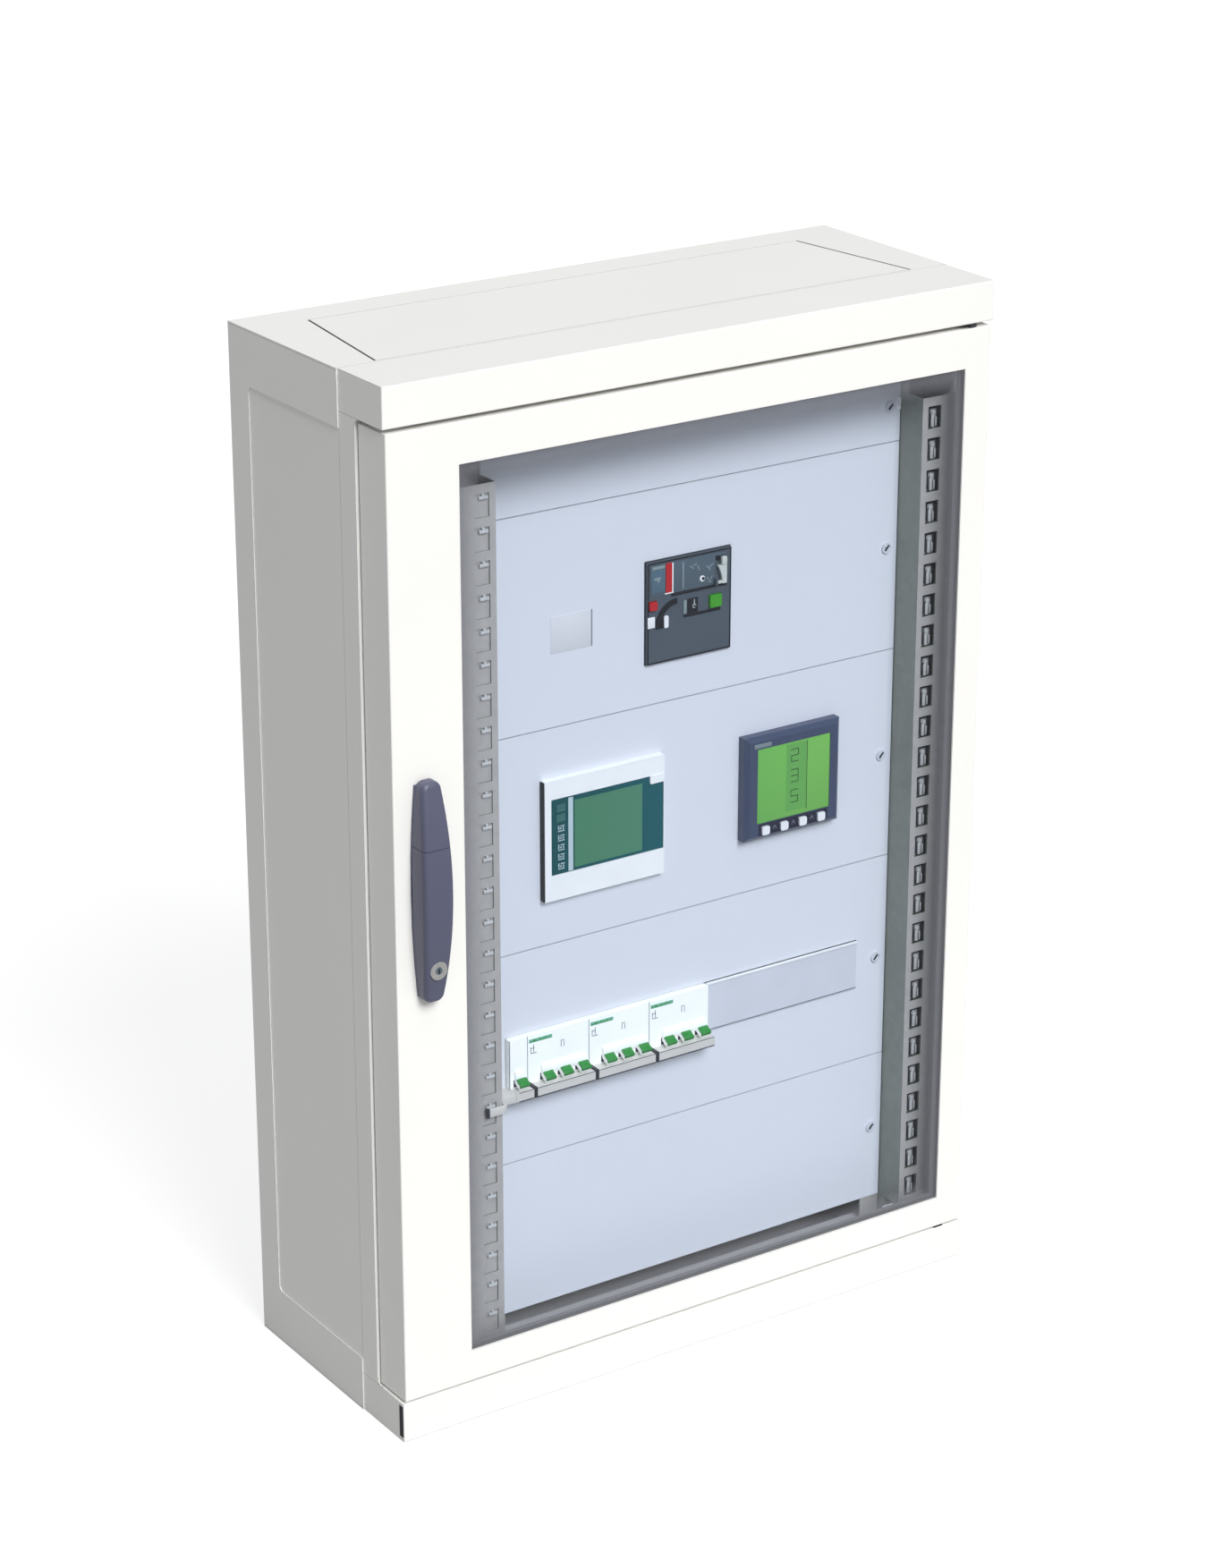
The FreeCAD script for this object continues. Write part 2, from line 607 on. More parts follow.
def make_post(label, x):
    """A frame post: a channel open to the rear."""
    low = bottom_fascia_high
    web = box(label + "_front", (x, x + lip_width), (lip_front, lip_front + metal), (low, fascia_underside))
    outer = box(label + "_outer", (x, x + metal), (lip_front, frame_depth), (low, fascia_underside))
    far = x + lip_width
    inner = box(label + "_inner", (far - metal, far), (lip_front, frame_depth), (low, fascia_underside))
    return [web, outer, inner]


def make_ears(label, outer_x):
    """The rounded corners between the latch-side post and the fascias."""
    low = bottom_fascia_high
    ear_front = lip_front - ear_radius
    ears = []
    for end, z, centre in (("low", low, low + ear_radius),
                           ("high", fascia_underside - ear_radius, fascia_underside - ear_radius)):
        block = box(label + "_ear_block_" + end, (outer_x, outer_x + ear_gauge),
                    (ear_front, lip_front + 1), (z, z + ear_radius))
        round_cut = cylinder(label + "_ear_round_" + end, "X", ear_radius,
                             (outer_x - 1, ear_front, centre), ear_gauge + 2)
        ears.append(cut(label + "_ear_" + end, block, [round_cut]))
    return ears


keep(make_back_panel())
keep(make_side_panel("left_side_panel", 0, True))
keep(make_side_panel("right_side_panel", width - panel_gauge, False))
keep(make_end_panel("top_panel", height - metal * 2, False))
keep(make_end_panel("bottom_panel", 0, True))
keep(make_gland_plate("top_gland_plate", height - metal))
keep(make_gland_plate("bottom_gland_plate", 0))
keep(make_fascia("top_fascia", fascia_underside, top_fascia_high))
keep(make_fascia("bottom_fascia", 0, bottom_fascia_high))
keep(join("left_post", make_post("left_post", side_proud) + make_ears("left_post", side_proud)))
keep(join("right_post", make_post("right_post", width - side_proud - lip_width)))

# =================================================================== door
door_wide = width - door_side_gap * 2
door_high = door_top - door_bottom
door_return = door_bottom + metal
glass_x = (window_left - glass_overlap, width - window_right + glass_overlap)
glass_z = (window_bottom - glass_overlap, height - window_top + glass_overlap)
glass_front = metal + glass_bed
glass_back = glass_front + glass_gauge


def make_door_frame():
    """A folded dish with a window, drilled for the hinge pins and the spindle."""
    door = body("door_frame", door_side_gap, 0, door_bottom)
    outline = rectangle(0, 0, door_wide, door_high)
    pad(door, sketch(door, "XZ_Plane", [outline]), door_depth, True)
    hollow = rectangle(metal, metal, door_wide - metal, door_high - metal)
    pocket(door, sketch(door, "XZ_Plane", [hollow], -door_depth), door_depth - metal, True)
    window = rectangle(
        window_left - door_side_gap, window_bottom - door_bottom,
        door_wide + door_side_gap - window_right, height - window_top - door_bottom)
    pocket(door, sketch(door, "XZ_Plane", [window]), metal)
    spindle = [(handle_side - door_side_gap, spindle_z - door_bottom)]
    pocket(door, circles(door, "XZ_Plane", spindle, spindle_radius + turn_gap), metal)
    pins = [(hinge_x - door_side_gap, hinge_deep)]
    pocket(door, circles(door, "XY_Plane", pins, pin_radius + pin_hole_play), door_high, True)
    fillet(door, metal - 0.3, lambda edge: edge.BoundBox.YMax < 0.01 and
           edge.BoundBox.YLength < 0.01 and on_outline(edge, door_wide, door_high))
    return door


def on_outline(edge, wide, high):
    """An edge on a body's outer rectangle, in the body's own front plane."""
    middle = edge.CenterOfMass
    at_side = min(abs(middle.x), abs(middle.x - plain(wide))) < 0.01
    at_end = min(abs(middle.z), abs(middle.z - plain(high))) < 0.01
    return at_side or at_end


def make_hinge_leaves():
    """Two leaves fixed under and over the door, each with its own pin."""
    leaves = []
    ends = (
        ("top", (fascia_underside - leaf_gauge, fascia_underside),
         door_top - pin_length, pin_length + door_top_gap - leaf_gauge),
        ("bottom", (bottom_fascia_high, bottom_fascia_high + leaf_gauge),
         bottom_fascia_high + leaf_gauge, pin_length + door_bottom_gap - leaf_gauge))
    for end, z, pin_start, pin_span in ends:
        arm_x = hinge_x - leaf_inset
        rear = hinge_deep + leaf_behind
        arm = box("leaf_arm_" + end, (arm_x, arm_x + leaf_wide), (leaf_front, rear), z)
        plate = box("leaf_plate_" + end, (arm_x, hinge_x + leaf_outboard), (hinge_deep - leaf_before, rear), z)
        pin = cylinder("leaf_pin_" + end, "Z", pin_radius, (hinge_x, hinge_deep, pin_start), pin_span)
        leaves.append(join("hinge_leaf_" + end, [arm, plate, pin]))
    return group("hinge_leaves", leaves)


def make_hinge_bushes():
    bushes = []
    for end, z in (("top", door_top - metal - bush_length), ("bottom", door_return)):
        centre = (hinge_x, hinge_deep, z)
        bore = pin_radius + pin_clearance
        sleeve = cylinder("bush_sleeve_" + end, "Z", bore + bush_wall, centre, bush_length)
        hole = cylinder("bush_bore_" + end, "Z", bore, centre, bush_length)
        bushes.append(cut("hinge_bush_" + end, sleeve, [hole]))
    return group("hinge_bushes", bushes)


def make_glass():
    glass = body("door_glass", glass_x[0], glass_front, glass_z[0])
    outline = rectangle(0, 0, glass_x[1] - glass_x[0], glass_z[1] - glass_z[0])
    pad(glass, sketch(glass, "XZ_Plane", [outline]), glass_gauge, True)
    return glass


def make_seal():
    """The strip that holds the glass against the inside of the door frame."""
    seal = body("glass_seal", glass_x[0], glass_back, glass_z[0])
    wide = glass_x[1] - glass_x[0]
    high = glass_z[1] - glass_z[0]
    outer = rectangle(0, 0, wide, high)
    inner = rectangle(seal_width, seal_width, wide - seal_width, high - seal_width)
    pad(seal, sketch(seal, "XZ_Plane", [outer, inner]), seal_gauge, True)
    return seal


keep(make_door_frame())
keep(make_glass())
keep(make_seal())
keep(make_hinge_leaves())
keep(make_hinge_bushes())

# ========================================================= handle and latch
handle_middle = handle_bottom + handle_high / 2
split_z = handle_top - handle_split
lock_z = handle_bottom + lock_rise
handle_back = -escutcheon_gauge - turn_gap


def lens(name, y, z, face_curve=True):
    """The handle's long oval outline between two depths and two heights."""
    far = handle_side_curve - handle_wide / 2
    slab_y = (y[0], y[1] - y[0])
    sides = []
    for sign, label in ((1, "_left_side"), (-1, "_right_side")):
        centre_x = handle_side + far * sign
        sides.append(cylinder(name + label, "Y", handle_side_curve,
                              (centre_x, slab_y[0], handle_middle), slab_y[1]))
    half = handle_wide / 2
    slab = box(name + "_slab", (handle_side - half, handle_side + half), y, z)
    shapes = [slab] + sides
    if face_curve:
        crown_y = handle_face_curve - handle_proud
        start = (handle_side - half, crown_y, handle_middle)
        shapes.append(cylinder(name + "_crown", "X", handle_face_curve, start, handle_wide))
    result = doc.addObject("Part::MultiCommon", name)
    result.Shapes = shapes
    return result


def tip_edge(edge, z):
    """An edge along Y at one end of the handle."""
    area = edge.BoundBox
    return area.XLength < 1e-3 and abs(area.ZMin - plain(z)) < 0.05 and area.ZLength < 1e-3


def face_edge(edge):
    """An edge round the handle's crowned face, away from the split."""
    area = edge.BoundBox
    deep = plain(front + handle_back) - 1
    at_split = area.ZLength < 1e-3 and abs(area.ZMin - plain(split_z)) < 1
    return area.YMax < deep and not at_split


def make_handle_head():
    whole = lens("handle_head_blank", (-handle_proud, handle_back), (split_z, handle_top))
    tips = rounded("handle_head_tips", whole, handle_tip, lambda edge: tip_edge(edge, handle_top))
    return rounded("handle_head", tips, handle_edge, face_edge)


def make_handle_lever():
    whole = lens("handle_lever_blank", (-handle_proud, handle_back), (handle_bottom, split_z - turn_gap))
    tips = rounded("handle_lever_tips", whole, handle_tip, lambda edge: tip_edge(edge, handle_bottom))
    smooth = rounded("handle_lever_smooth", tips, handle_edge, face_edge)
    bore = cylinder("lock_bore", "Y", lock_radius + lock_play,
                    (handle_side, -handle_proud - 1, lock_z), handle_proud)
    return cut("handle_lever", smooth, [bore])


def make_lock():
    """A key cylinder whose face follows the crown of the lever."""
    face = lock_sunk - handle_proud
    barrel = cylinder("lock_barrel", "Y", lock_radius, (handle_side, face, lock_z), lock_length)
    slot = box("lock_keyway", (handle_side - keyway_wide / 2, handle_side + keyway_wide / 2),
               (face - 1, face + keyway_deep), (lock_z - keyway_high / 2, lock_z + keyway_high / 2))
    return cut("lock_cylinder", barrel, [slot])


def make_handle_base():
    ends = (handle_bottom + base_inset, handle_top - base_inset)
    plate = lens("handle_base_blank", (-escutcheon_gauge, 0), ends, False)
    hole = cylinder("handle_base_hole", "Y", spindle_radius + turn_gap,
                    (handle_side, -escutcheon_gauge - 1, spindle_z), escutcheon_gauge + 2)
    return cut("handle_base", plate, [hole])


half_turn = 0.70711  # sine and cosine of the pins' 45 degrees
cam_front = rod_front - cam_gap - cam_gauge
pin_offset = cam_radius * half_turn


def make_latch_cam():
    """Spindle, cam disc and the two pins that drive the rods."""
    spindle = cylinder("cam_spindle", "Y", spindle_radius,
                       (handle_side, handle_back, spindle_z), cam_front - handle_back)
    rim = cam_radius + cam_pin + cam_rim
    disc = cylinder("cam_disc", "Y", rim, (handle_side, cam_front, spindle_z), cam_gauge)
    parts = [spindle, disc]
    for sign, label in ((1, "upper"), (-1, "lower")):
        start = (handle_side - pin_offset * sign, cam_front + cam_gauge, spindle_z + pin_offset * sign)
        reach = cam_gap + rod_gauge + cam_pin_past
        parts.append(cylinder("cam_pin_" + label, "Y", cam_pin, start, reach))
    return join("latch_cam", parts)


def rod_x(sign):
    """A latch rod's two long edges; +1 is the upper rod, -1 the lower one."""
    near = handle_side - rod_aside * sign
    far = near - rod_width * sign
    return (far, near) if sign > 0 else (near, far)


def make_rod(label, sign, z):
    bar = box(label + "_bar", rod_x(sign), (rod_front, rod_front + rod_gauge), z)
    reach = cam_pin + slot_play
    inner = handle_side - (pin_offset - reach) * sign
    outer = handle_side - (cam_radius + reach) * sign
    eye_x = (outer, inner) if sign > 0 else (inner, outer)
    eye_z = spindle_z + pin_offset * sign
    eye = box(label + "_eye", eye_x, (rod_front - 1, rod_front + rod_gauge + 1),
              (eye_z - reach, eye_z + reach))
    return cut(label, bar, [eye])


def make_guides():
    """Four closed guides that hold the rods to the inside of the door."""
    guides = []
    places = ((1, door_top - guide_end), (1, spindle_z + guide_reach),
              (-1, door_bottom + guide_end), (-1, spindle_z - guide_reach))
    for n, (sign, z) in enumerate(places):
        low_x, high_x = rod_x(sign)
        block = box("guide_block_%d" % n,
                    (low_x - guide_play - guide_wall, high_x + guide_play + guide_wall),
                    (metal, rod_front + rod_gauge + guide_play + guide_wall), (z, z + guide_high))
        passage = box("guide_passage_%d" % n, (low_x - guide_play, high_x + guide_play),
                      (rod_front - guide_play, rod_front + rod_gauge + guide_play),
                      (z - 1, z + guide_high + 1))
        guides.append(cut("guide_%d" % n, block, [passage]))
    return group("rod_guides", guides)


def make_keepers():
    """Strike lugs on the left post, behind the tips of the latch rods."""
    lugs = []
    tips = (("upper", 1, door_top - rod_end_gap - lug_inset - lug_high),
            ("lower", -1, door_bottom + rod_end_gap + lug_inset))
    for label, sign, z in tips:
        stem_x = side_proud + lip_width - lug_aside
        lug_y = rod_front + rod_gauge + lug_gap
        level = (z, z + lug_high)
        stem_box = box("lug_stem_" + label, (stem_x, stem_x + lug_gauge), (lug_y, lip_front), level)
        face = box("lug_face_" + label, (stem_x, rod_x(sign)[1]), (lug_y, lug_y + lug_gauge), level)
        lugs.append(join("lug_" + label, [stem_box, face]))
    return group("latch_keepers", lugs)


keep(make_handle_base())
keep(make_handle_head())
keep(make_handle_lever())
keep(make_lock())
keep(make_latch_cam())
upper_eye = spindle_z + pin_offset
lower_eye = spindle_z - pin_offset
keep(make_rod("upper_latch_rod", 1, (upper_eye - rod_eye, door_top - rod_end_gap)))
keep(make_rod("lower_latch_rod", -1, (door_bottom + rod_end_gap, lower_eye + rod_eye)))
keep(make_guides())
keep(make_keepers())

# =============================================================== interior
seam = plate_seam
plate_x = (upright_left + seam, upright_right - seam)
seat_front = plate_back


def make_upright(label, on_left):
    """A folded upright: notched front flange, web, and the return that holds the plates."""
    high = upright_top - upright_bottom
    wide = flange_wide + return_wide - metal
    origin_x = upright_left - flange_wide if on_left else upright_right + metal - return_wide
    upright = body(label, origin_x, upright_front, upright_bottom)
    web_u = flange_wide - metal if on_left else return_wide - metal
    back_v = seat_front - upright_front
    deep = back_v + metal

    def section(front_v):
        """The folded section from one depth back; the full one has the front flange."""
        if on_left:
            tail = [(web_u + metal, back_v), (wide, back_v), (wide, deep), (web_u, deep)]
            if front_v:
                return [(web_u, front_v), (web_u + metal, front_v)] + tail
            return [(0, 0), (web_u + metal, 0)] + tail + [(web_u, metal), (0, metal)]
        tail = [(web_u + metal, deep), (0, deep), (0, back_v), (web_u, back_v)]
        if front_v:
            return tail + [(web_u, front_v), (web_u + metal, front_v)]
        return tail + [(web_u, 0), (wide, 0), (wide, metal), (web_u + metal, metal)]

    pad(upright, sketch(upright, "XY_Plane", [section(0)]), high)
    rear = sketch(upright, "XY_Plane", [section(lip_front - upright_front)],
                  bottom_fascia_high - upright_bottom)
    pad(upright, rear, fascia_underside - bottom_fascia_high)
    if on_left:
        notch_u = flange_wide - notch_edge - notch_wide
    else:
        notch_u = return_wide - metal + notch_edge
    low = (high - notch_pitch * (notch_count - 1) - notch_high) / 2
    notch = sketch(upright, "XZ_Plane", [rectangle(notch_u, low, notch_u + notch_wide, low + notch_high)])
    first = pocket(upright, notch, metal)
    row = upright.newObject("PartDesign::LinearPattern", label + "_notches")
    row.Originals = [first]
    z_axis = [f for f in upright.Origin.OriginFeatures if f.Role == "Z_Axis"][0]
    row.Direction = (z_axis, [""])
    bind(row, "Length", notch_pitch * (notch_count - 1))
    bind(row, "Occurrences", notch_count)
    upright.Tip = row
    return upright


def make_plate(label, bottom, top, cutouts):
    """A cover plate with folded long edges, cut out for its devices and fasteners."""
    low = bottom + seam / 2
    plate = body(label, plate_x[0], plate_front, low)
    wide = plate_x[1] - plate_x[0]
    high = top - bottom - seam
    pad(plate, sketch(plate, "XZ_Plane", [rectangle(0, 0, wide, high)]), metal, True)
    fold_ends = (return_wide + fold_clear, wide - return_wide - fold_clear)
    folds = [rectangle(fold_ends[0], 0, fold_ends[1], metal),
             rectangle(fold_ends[0], high - metal, fold_ends[1], high)]
    pad(plate, sketch(plate, "XZ_Plane", folds, -metal), plate_fold, True)
    for x, z in cutouts:
        window = rectangle(x[0] - plate_x[0], z[0] - low, x[1] - plate_x[0], z[1] - low)
        pocket(plate, sketch(plate, "XZ_Plane", [window]), metal)
    inset = screw_inset - seam
    centres = [(inset, high / 2), (wide - inset, high / 2)]
    pocket(plate, circles(plate, "XZ_Plane", centres, screw_shank + screw_play), metal)
    return plate


def grown(span, play):
    return (span[0] - play, span[1] + play)


breaker_x = (breaker_left, breaker_left + breaker_wide)
breaker_z = (breaker_bottom, breaker_bottom + breaker_high)
meter_neck_x = (meter_left + meter_neck_side, meter_left + meter_wide - meter_neck_side)
meter_neck_z = (meter_bottom + meter_neck_end, meter_bottom + meter_high - meter_neck_end)
display_neck_x = (display_left + display_neck_in, display_left + display_wide - display_neck_in)
display_neck_z = (display_bottom + display_neck_in, display_bottom + display_high - display_neck_in)
row_x = (row_left, row_right - row_play)
row_z = (row_centre - row_high / 2, row_centre + row_high / 2)

keep(make_upright("left_upright", True))
keep(make_upright("right_upright", False))
play = cutout_play
cutouts = {
    "lower_plate": [],
    "modular_plate": [(grown(row_x, row_play), grown(row_z, row_play))],
    "metering_plate": [(grown(meter_neck_x, play), grown(meter_neck_z, play)),
                       (grown(display_neck_x, play), grown(display_neck_z, play))],
    "breaker_plate": [(grown(breaker_x, play), grown(breaker_z, play))],
    "filler_plate": [],
}
for number, (label, holes) in enumerate(cutouts.items()):
    keep(make_plate(label, lines[number], lines[number + 1], holes))


def make_fasteners():
    """Quarter-turn fasteners, one at the middle of each end of every cover plate."""
    fasteners = []
    for row in range(len(lines) - 1):
        z = (lines[row] + lines[row + 1]) / 2
        for side, x in (("left", upright_left + screw_inset), ("right", upright_right - screw_inset)):
            tag = "%s_%d" % (side, row)
            face = plate_front - screw_gauge
            head = cylinder("screw_head_" + tag, "Y", screw_head, (x, face, z), screw_gauge)
            shank = cylinder("screw_shank_" + tag, "Y", screw_shank, (x, plate_front, z), metal)
            slot = box("screw_slot_" + tag, (x - screw_slot_half, x + screw_slot_half),
                       (face - 1, face + screw_slot_deep),
                       (z - screw_slot_wide / 2, z + screw_slot_wide / 2))
            fasteners.append(cut("fastener_" + tag, join("screw_" + tag, [head, shank]), [slot]))
    return group("plate_fasteners", fasteners)


def make_wireway_cover():
    x = (side_proud + lip_width, upright_left - metal)
    z = (bottom_fascia_high + cover_end, fascia_underside - cover_end)
    y = (cover_front, cover_front + metal)
    face = box("wireway_face", x, y, z)
    fold_y = (y[0], y[0] + cover_fold)
    folds = [box("wireway_fold_left", (x[0], x[0] + metal), fold_y, z),
             box("wireway_fold_right", (x[1] - metal, x[1]), fold_y, z)]
    return join("wireway_cover", [face] + folds)


tray_back = plate_front - breaker_proud + front_gauge + breaker_deep


def make_tray():
    """The tray between the uprights that carries the main breaker."""
    middle = breaker_bottom + breaker_high / 2
    z = (middle - tray_high / 2, middle + tray_high / 2)
    y = (seat_front + metal, tray_back + metal)
    base = box("tray_base", (upright_left, upright_right), (tray_back, tray_back + metal), z)
    left_end = box("tray_left_end", (upright_left, upright_left + metal), y, z)
    right_end = box("tray_right_end", (upright_right - metal, upright_right), y, z)
    return join("breaker_mount", [base, left_end, right_end])


trunk_front = plate_back + trunk_gap
rail_front = trunk_front + device_deep


def make_rail():
    """A top-hat mounting rail with its end brackets welded on."""
    x = (upright_left, upright_right)
    lip = rail_high / 2
    crown_z = (row_centre - lip + rail_brim, row_centre + lip - rail_brim)
    crown_y = (rail_front + rail_deep - rail_gauge, rail_front + rail_deep)
    parts = [box("rail_web", x, crown_y, crown_z)]
    for label, z in (("low", (row_centre - lip, crown_z[0] + rail_gauge)),
                     ("high", (crown_z[1] - rail_gauge, row_centre + lip))):
        parts.append(box("rail_brim_" + label, x, (rail_front, rail_front + rail_gauge), z))
    for label, z in (("low", (crown_z[0], crown_z[0] + rail_gauge)),
                     ("high", (crown_z[1] - rail_gauge, crown_z[1]))):
        parts.append(box("rail_wall_" + label, x, (rail_front, rail_front + rail_deep), z))
    z = (row_centre - bracket_high / 2, row_centre + bracket_high / 2)
    for label, low in (("left", upright_left), ("right", upright_right - metal)):
        y = (seat_front + metal, rail_front + rail_deep)
        parts.append(box("rail_bracket_" + label, (low, low + metal), y, z))
    return join("din_rail", parts)


bar_back = depth - metal - bar_stand_off


def bar_x(n):
    """The left edge of one of the four vertical busbars."""
    return width / 2 + bar_pitch * (n - 1.5) - bar_wide / 2


def make_busbars():
    bars = []
    for n in range(4):
        x = bar_x(n)
        bars.append(box("busbar_%d" % n, (x, x + bar_wide), (bar_back - bar_gauge, bar_back),
                        (bar_bottom, bar_bottom + bar_high)))
    return group("busbars", bars)


def make_supports():
    supports = []
    x = (bar_x(0) - support_past, bar_x(3) + bar_wide + support_past)
    low = bar_bottom + support_inset
    for n, z in enumerate((low, bar_bottom + bar_high - support_inset - support_high)):
        supports.append(box("support_%d" % n, x, (bar_back, depth - metal), (z, z + support_high)))
    return group("busbar_supports", supports)


keep(make_fasteners())
keep(make_wireway_cover())
keep(make_tray())
keep(make_rail())
keep(make_busbars())
keep(make_supports())

# =========================================================== main breaker
breaker_face = plate_front - breaker_proud
front_back = breaker_face + front_gauge
green_x = (breaker_x[1] - green_right - green_size, breaker_x[1] - green_right)
green_z = (breaker_bottom + green_bottom, breaker_bottom + green_bottom + green_high)
red_x = (breaker_left + red_left, breaker_left + red_left + red_size)
red_z = (breaker_bottom + red_bottom, breaker_bottom + red_bottom + red_size)
crank_x = (breaker_x[1] - crank_right - crank_wide, breaker_x[1] - crank_right)
crank_z = breaker_bottom + crank_bottom
crank_y = breaker_face - crank_gap - crank_gauge / 2


def make_breaker_front():
    """The breaker's front, holed for its push-buttons, with lugs for the handle."""
    block = box("breaker_front_block", breaker_x, (breaker_face, front_back), breaker_z)
    holes = []
    for label, x, z in (("green", green_x, green_z), ("red", red_x, red_z)):
        holes.append(box("breaker_hole_" + label, grown(x, button_play),
                         (breaker_face - 1, breaker_face + button_hole), grown(z, button_play)))
    lugs = []
    for label, low in (("left", crank_x[0] - crank_gap - crank_lug), ("right", crank_x[1] + crank_gap)):
        lugs.append(box("crank_lug_" + label, (low, low + crank_lug),
                        (breaker_face - crank_lug_proud, breaker_face),
                        (crank_z - crank_lug_half, crank_z + crank_lug_half)))
    return join("main_breaker_front", [cut("breaker_front_holed", block, holes)] + lugs)


def make_breaker_body():
    middle_x = breaker_left + breaker_wide / 2
    middle_z = breaker_bottom + breaker_high / 2
    block = box("breaker_body_block", (middle_x - body_wide / 2, middle_x + body_wide / 2),
                (front_back, tray_back), (middle_z - body_high / 2, middle_z + body_high / 2))
    return rounded("main_breaker_body", block, body_round, inward_edge)


def make_button(label, x, z):
    y = (breaker_face - button_proud, breaker_face + button_hole - button_travel - button_floor)
    block = box(label + "_block", x, y, z)
    return rounded(label, block, button_round, inward_edge)


def make_crank():
    """The charging handle: a flat lever on a round barrel at its lower end."""
    half = crank_gauge / 2
    lever = box("crank_lever", crank_x, (crank_y - half, crank_y + half), (crank_z, crank_z + crank_high))
    barrel = cylinder("crank_barrel", "X", half, (crank_x[0], crank_y, crank_z), crank_wide)
    return join("charging_handle", [lever, barrel])


keep(make_breaker_body())
keep(make_breaker_front())
keep(make_button("close_button", green_x, green_z))
keep(make_button("open_button", red_x, red_z))
keep(make_crank())

# ==================================================== metering and display
meter_face = plate_front - meter_proud
display_face = plate_front - display_proud
key_z = (meter_bottom + key_rise, meter_bottom + key_rise + key_size)
touch_x = (display_left + touch_left, display_left + display_wide - touch_right)
touch_z = (display_bottom + touch_foot, display_bottom + display_high - touch_head)


def key_x(n):
    """The two sides of one of the meter's four keys."""
    low = meter_left + key_side + (meter_wide - key_side * 2 - key_size) / 3 * n
    return (low, low + key_size)


def make_meter():
    """The meter's bezel, chamfered all round, with its neck through the plate."""
    case = body("meter_case", meter_left, meter_face, meter_bottom)
    bezel = sketch(case, "XZ_Plane", [rectangle(0, 0, meter_wide, meter_high)])
    pad(case, bezel, meter_proud, True)
    doc.recompute()
    tip = case.Tip
    edges = ["Edge%d" % (n + 1) for n, edge in enumerate(tip.Shape.Edges) if edge.BoundBox.YMax < 0.01]
    bevel = case.newObject("PartDesign::Chamfer", "meter_bevel")
    bevel.Base = (tip, edges)
    bind(bevel, "Size", meter_proud / 3)
    neck = rectangle(meter_neck_x[0] - meter_left, meter_neck_z[0] - meter_bottom,
                     meter_neck_x[1] - meter_left, meter_neck_z[1] - meter_bottom)
    pad(case, sketch(case, "XZ_Plane", [neck], -meter_proud), meter_neck_deep, True)
    keys = []
    for n in range(4):
        x = grown(key_x(n), key_play)
        z = grown(key_z, key_play)
        keys.append(rectangle(x[0] - meter_left, z[0] - meter_bottom,
                              x[1] - meter_left, z[1] - meter_bottom))
    pocket(case, sketch(case, "XZ_Plane", keys), key_hole)
    screen = rectangle(screen_side, screen_foot, meter_wide - screen_side, meter_high - screen_head)
    pocket(case, sketch(case, "XZ_Plane", [screen]), screen_sunk)
    return case


def make_key(n):
    y = (meter_face - key_proud, meter_face + key_hole - key_travel - key_floor)
    block = box("meter_key_block_%d" % n, key_x(n), y, key_z)
    return rounded("meter_key_%d" % n, block, key_round, inward_edge)


def make_display():
    bezel = box("display_bezel", (display_left, display_left + display_wide),
                (display_face, plate_front), (display_bottom, display_bottom + display_high))
    neck_y = (plate_front, plate_front + display_neck_deep)
    neck = box("display_neck", display_neck_x, neck_y, display_neck_z)
    recess = box("display_recess", touch_x, (display_face - 1, display_face + touch_deep), touch_z)
    return cut("display_case", join("display_blank", [bezel, neck]), [recess])


def make_screen():
    return box("display_screen", grown(touch_x, -touch_play),
               (display_face + touch_sunk, display_face + touch_deep), grown(touch_z, -touch_play))


keep(make_meter())
for number in range(4):
    keep(make_key(number))
keep(make_display())
keep(make_screen())

# ============================================================ modular row
nose_face = plate_front - nose_proud
toggle_y = nose_face + toggle_deep
toggle_z = row_centre - toggle_drop


def device_x(n):
    """The two sides of a modular device; the first is the narrow one."""
    if n == 0:
        return (row_left, row_left + module - device_seam)
    low = row_left + module + row_pitch * (n - 1)
    return (low, low + row_pitch - device_seam)


def pole_x(n):
    """The middles of a device's poles."""
    if n == 0:
        return [row_left + module / 2]
    return [device_x(n)[0] + module * pole for pole in (1, 2, 3)]


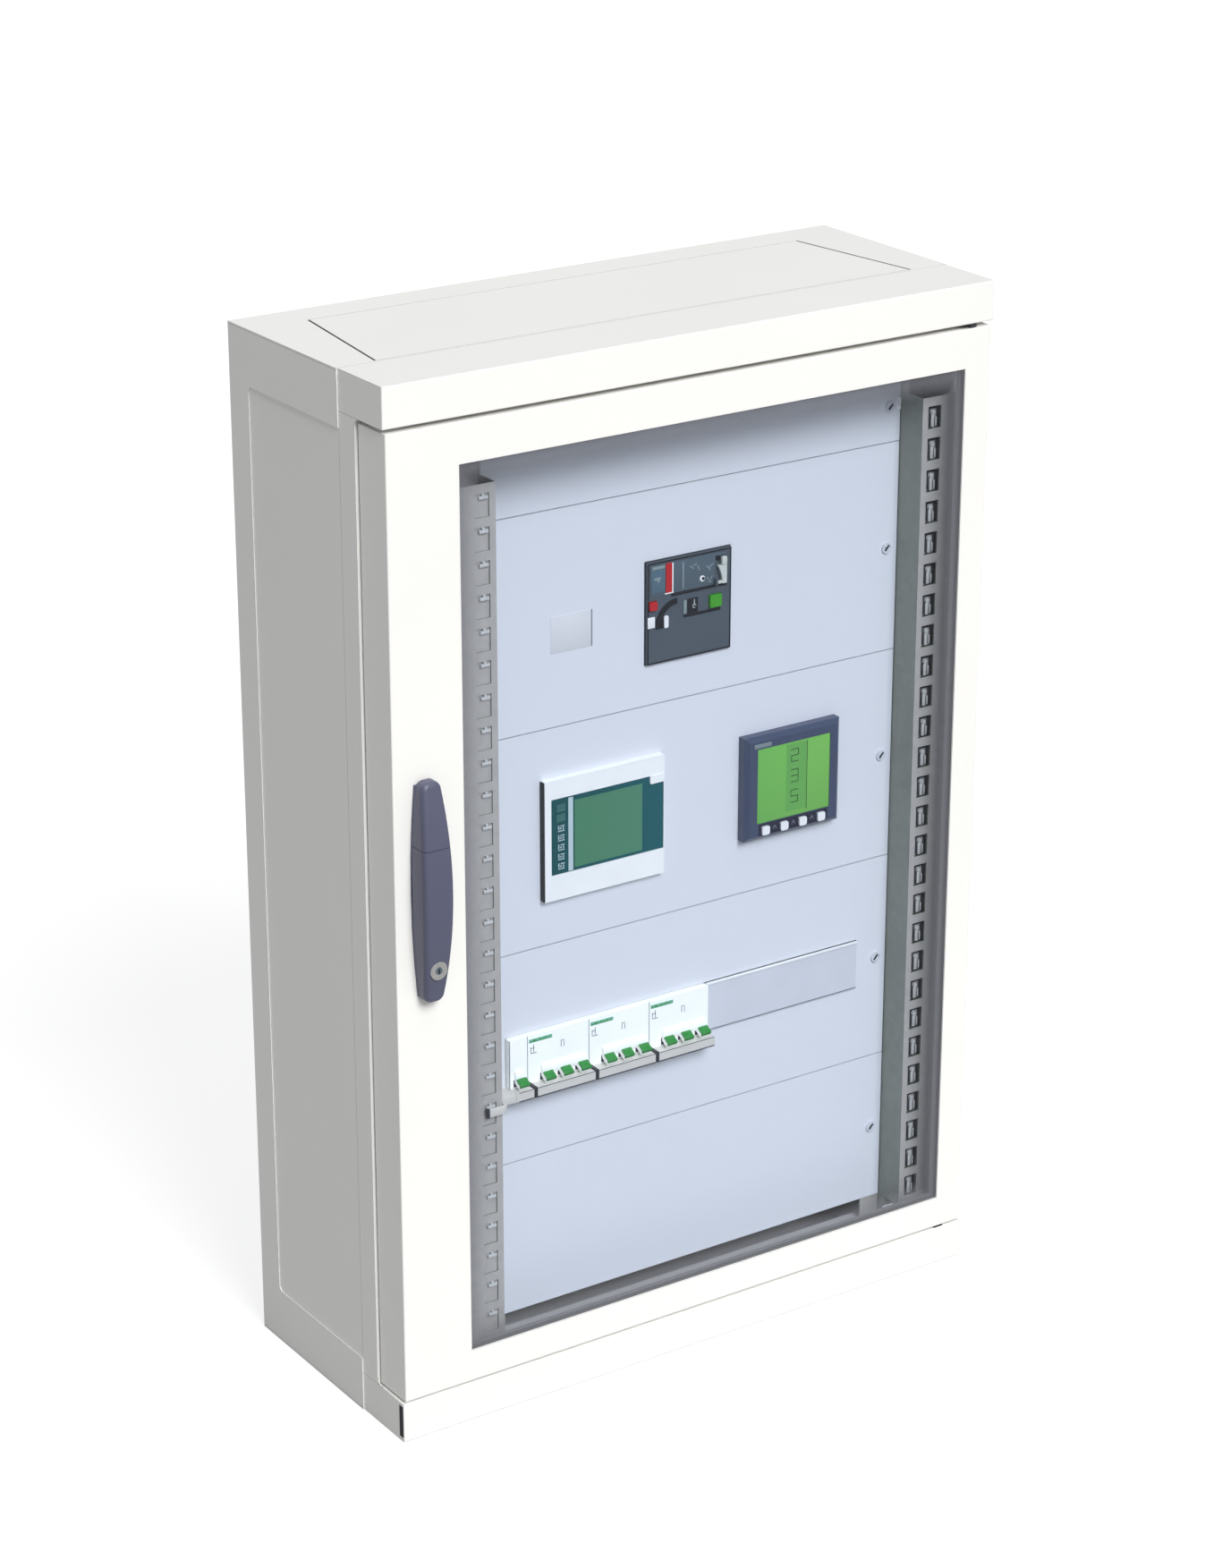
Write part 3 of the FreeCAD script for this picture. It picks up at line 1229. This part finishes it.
def make_device(n):
    x = device_x(n)
    nose = box("device_nose_%d" % n, x, (nose_face, trunk_front), row_z)
    trunk = box("device_trunk_%d" % n, x, (trunk_front, rail_front),
                (row_centre - device_high / 2, row_centre + device_high / 2))
    poles = pole_x(n)
    half = toggle_wide / 2 + toggle_play
    span = poles[-1] - poles[0] + half * 2
    socket = cylinder("device_socket_%d" % n, "X", toggle_radius + toggle_play,
                      (poles[0] - half, toggle_y, toggle_z), span)
    return cut("modular_breaker_%d" % n, join("device_blank_%d" % n, [nose, trunk]), [socket])


def make_toggle(n):
    """Ganged toggles on one drum, tipped down at rest."""
    poles = pole_x(n)
    half = toggle_wide / 2
    drum = cylinder("toggle_drum_%d" % n, "X", toggle_radius,
                    (poles[0] - half, toggle_y, toggle_z), poles[-1] - poles[0] + toggle_wide)
    down, along = 0.5, 0.86603  # sine and cosine of the tips' 30 degrees
    root = toggle_radius - toggle_root
    tips = [drum]
    for number, middle in enumerate(poles):
        tip = doc.addObject("Part::Box", "toggle_tip_%d_%d" % (n, number))
        tip.Placement = FreeCAD.Placement(Vector(), Rotation(Vector(1, 0, 0), 210))
        bind(tip, "Length", toggle_wide)
        bind(tip, "Width", toggle_reach - root)
        bind(tip, "Height", toggle_gauge)
        y = toggle_y - root * along - toggle_gauge * down / 2
        z = toggle_z - root * down + toggle_gauge * along / 2
        place(tip, middle - half, y, z)
        tips.append(tip)
    return join("toggle_%d" % n, tips)


def make_ledges():
    """The label ledge clipped under each device."""
    ledges = []
    for n in range(4):
        x = device_x(n)
        z = (row_z[0] - ledge_high - ledge_gap, row_z[0] - ledge_gap)
        ledges.append(box("ledge_%d" % n, x, (nose_face - ledge_proud, plate_front), z))
    return group("label_ledges", ledges)


def make_blanking():
    x = (device_x(3)[1] + device_seam, row_right - row_play)
    face = box("blanking_face", x, (plate_front - strip_proud, plate_back), row_z)
    return rounded("blanking_strip", face, strip_round, level_edge)


for number in range(4):
    keep(make_device(number))
for number in range(4):
    keep(make_toggle(number))
keep(make_ledges())
keep(make_blanking())

# ================================================================= output
doc.recompute()
for item in doc.Objects:
    if "Invalid" in item.State or "Error" in item.State:
        raise ValueError("%s failed: %s" % (item.Name, item.State))
for node in nodes:
    if node.Shape.isNull() or not node.Shape.isValid():
        raise ValueError("%s has no valid shape" % node.Name)
os.makedirs("parts", exist_ok=True)
for node in nodes:
    node.Label = node.Name
    node.Shape.exportStep("parts/%s.step" % node.Name)
